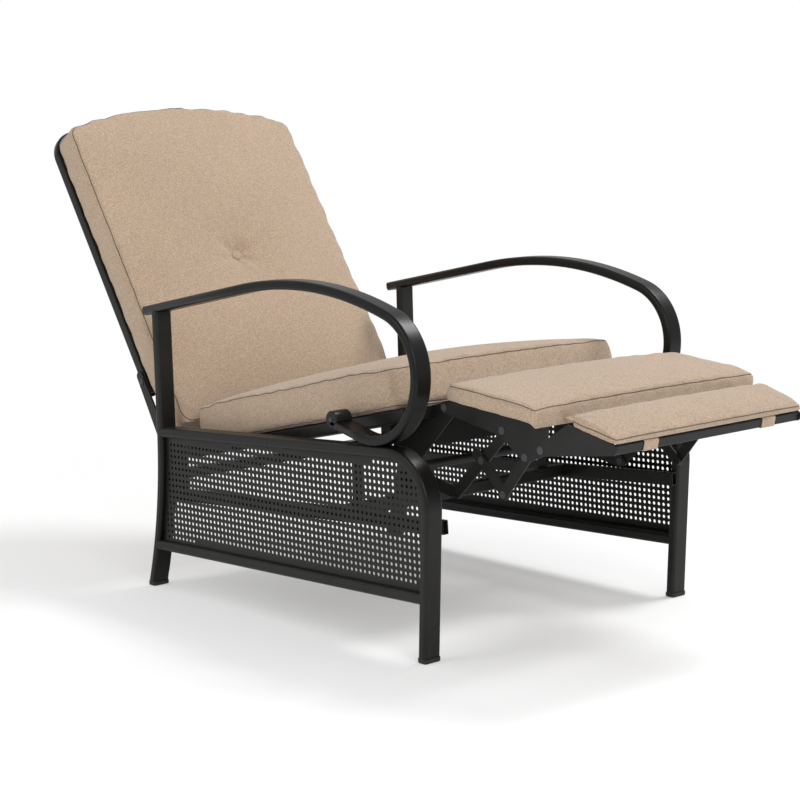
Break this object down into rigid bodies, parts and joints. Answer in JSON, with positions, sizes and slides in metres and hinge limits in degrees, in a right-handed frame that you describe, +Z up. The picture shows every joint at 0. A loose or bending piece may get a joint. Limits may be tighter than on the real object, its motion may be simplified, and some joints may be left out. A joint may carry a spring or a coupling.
{
  "type": "reclining garden armchair",
  "caption": "Reclining patio armchair with perforated side panels, scroll arms, tufted back cushion and a fold-out footrest on scissor links.",
  "frame": {"origin": "on the floor, under the middle of the opened-out chair", "axes": "+Z up, the chair faces -Y, +X towards the sitter's left; rest pose is the chair reclined with its footrest out"},
  "size_m": [0.6832, 1.6146, 0.97],
  "materials": {
    "powder_coat": "charcoal powder coat with soft highlights",
    "dark_steel": "black coated flat steel links and plates",
    "cushion_cloth": "heathered beige woven outdoor cloth",
    "black_plastic": "matt black moulded plugs and glides",
    "steel_fasteners": "dull zinc-coated rivets and pins"
  },
  "bodies": {
    "base": {"rear_leg_right": "powder_coat", "rear_leg_left": "powder_coat", "rail_leg_right": "powder_coat", "rail_leg_left": "powder_coat", "bottom_rail_right": "powder_coat", "bottom_rail_left": "powder_coat", "arm_right": "powder_coat", "arm_left": "powder_coat", "side_panel_right": "powder_coat", "side_panel_left": "powder_coat", "mounting_rail_right": "powder_coat", "mounting_rail_left": "powder_coat", "front_cross_rail": "powder_coat", "rear_cross_rail": "powder_coat", "foot_glides": "black_plastic", "arm_end_caps": "black_plastic", "arm_screws": "steel_fasteners", "hinge_brackets": "powder_coat", "lift_brackets": "powder_coat", "bracket_pins": "steel_fasteners"},
    "seat": {"seat_side_tube_right": "powder_coat", "seat_side_tube_left": "powder_coat", "seat_front_tube": "powder_coat", "seat_rear_tube": "powder_coat", "seat_slats": "powder_coat", "seat_cushion": "cushion_cloth", "mechanism_plate_right": "dark_steel", "mechanism_plate_left": "dark_steel", "seat_ears": "powder_coat", "seat_lugs": "powder_coat", "seat_pins": "steel_fasteners"},
    "seat_links": {"seat_links": "dark_steel"},
    "back": {"back_side_tube_right": "powder_coat", "back_side_tube_left": "powder_coat", "back_top_tube": "powder_coat", "back_slats": "powder_coat", "back_bracket_right": "powder_coat", "back_bracket_left": "powder_coat", "back_cushion": "cushion_cloth", "back_button": "cushion_cloth", "back_bolts": "steel_fasteners"},
    "footrest": {"footrest_rail_right": "dark_steel", "footrest_rail_left": "dark_steel", "footrest_bars": "dark_steel", "footrest_pad": "cushion_cloth", "footrest_rivets": "steel_fasteners"},
    "flap": {"flap_plate_right": "dark_steel", "flap_plate_left": "dark_steel", "flap_bars": "dark_steel", "flap_pad": "cushion_cloth", "flap_straps": "cushion_cloth"},
    "cranks": {"cranks": "dark_steel", "drive_tube": "dark_steel", "crank_pins": "steel_fasteners"},
    "rear_links": {"rear_links": "dark_steel", "cross_pins": "steel_fasteners"},
    "cross_links": {"cross_links": "dark_steel"},
    "lift_links": {"lift_links": "dark_steel", "lift_pins": "steel_fasteners"}
  },
  "joints": [
    {"name": "back_recline", "type": "hinge", "parent": "seat", "child": "back", "pos_m": [0, 0.39, 0.282], "axis": [1, 0, 0], "range_deg": [0, 16]},
    {"name": "seat_tilt", "type": "hinge", "parent": "base", "child": "seat", "pos_m": [0, 0.33, 0.283], "axis": [1, 0, 0], "range_deg": [0, 3]},
    {"name": "seat_link_turn", "type": "hinge", "parent": "base", "child": "seat_links", "pos_m": [0, -0.15116, 0.3308], "axis": [1, 0, 0], "range_deg": [0, 17.26]},
    {"name": "footrest_fold", "type": "hinge", "parent": "seat", "child": "footrest", "pos_m": [0, -0.385, 0.43], "axis": [1, 0, 0], "range_deg": [0, 70]},
    {"name": "flap_fold", "type": "hinge", "parent": "footrest", "child": "flap", "pos_m": [0, -0.625, 0.381], "axis": [1, 0, 0], "range_deg": [0, 94]},
    {"name": "crank_turn", "type": "hinge", "parent": "seat", "child": "cranks", "pos_m": [0, -0.248, 0.301], "axis": [1, 0, 0], "range_deg": [0, 70]},
    {"name": "rear_link_turn", "type": "hinge", "parent": "footrest", "child": "rear_links", "pos_m": [0, -0.529, 0.404], "axis": [1, 0, 0], "range_deg": [-70, 0]},
    {"name": "cross_link_turn", "type": "hinge", "parent": "rear_links", "child": "cross_links", "pos_m": [0, -0.465, 0.3435], "axis": [1, 0, 0], "range_deg": [0, 59.46]},
    {"name": "lift_link_turn", "type": "hinge", "parent": "footrest", "child": "lift_links", "pos_m": [0, -0.583, 0.364], "axis": [1, 0, 0], "range_deg": [-70.19, 0]}
  ],
  "couplings": [
    {"joint": "seat_tilt", "follows": "back_recline", "ratio": 0.1875},
    {"joint": "seat_link_turn", "follows": "back_recline", "ratio": 1.0785},
    {"joint": "flap_fold", "follows": "footrest_fold", "ratio": 1.3429},
    {"joint": "crank_turn", "follows": "footrest_fold", "ratio": 1},
    {"joint": "rear_link_turn", "follows": "footrest_fold", "ratio": -1},
    {"joint": "cross_link_turn", "follows": "footrest_fold", "ratio": 0.84937},
    {"joint": "lift_link_turn", "follows": "footrest_fold", "ratio": -1.0027}
  ]
}
